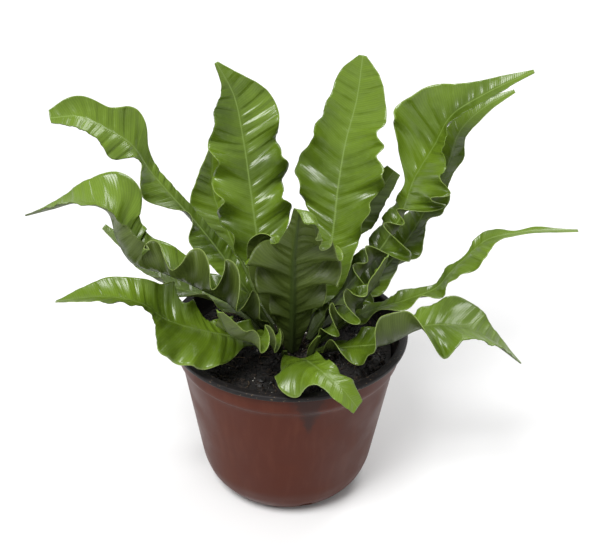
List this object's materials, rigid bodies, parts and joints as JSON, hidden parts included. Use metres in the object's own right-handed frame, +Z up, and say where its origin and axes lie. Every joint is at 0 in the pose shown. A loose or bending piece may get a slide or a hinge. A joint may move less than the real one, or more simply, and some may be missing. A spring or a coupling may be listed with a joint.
{
  "type": "potted fern",
  "caption": "Young bird's nest fern with wavy strap-shaped fronds, in a round terracotta-coloured nursery pot with a black rim, filled with dark potting mix.",
  "frame": {"origin": "centre of the pot's flat base, on the surface that the pot stands on", "axes": "+Z up along the pot's axis, -Y towards the plant's front, +X to the right of someone facing the front"},
  "size_m": [0.2564, 0.1645, 0.2179],
  "materials": {
    "pot": "satin",
    "soil": "matte",
    "rhizome": "matte",
    "frond": "satin",
    "sprout": "satin"
  },
  "bodies": {
    "root": {"pot": "pot", "soil": "soil", "rhizome": "rhizome", "frond_back_left": "frond", "frond_back_right": "frond", "frond_rear_left": "frond", "frond_arching_left": "frond", "frond_long_left": "frond", "frond_low_left": "frond", "frond_mid_left": "frond", "frond_front": "frond", "frond_broad_right": "frond", "frond_slim_right": "frond", "frond_short_right": "frond", "frond_whip_right": "frond", "frond_low_right": "frond", "frond_drooping_front": "frond", "frond_young": "frond", "frond_inner_right": "frond", "frond_inner_left": "frond", "frond_rear_low_left": "frond", "frond_rear_low_right": "frond", "sprout_front": "sprout", "sprout_left": "sprout"}
  },
  "joints": []
}
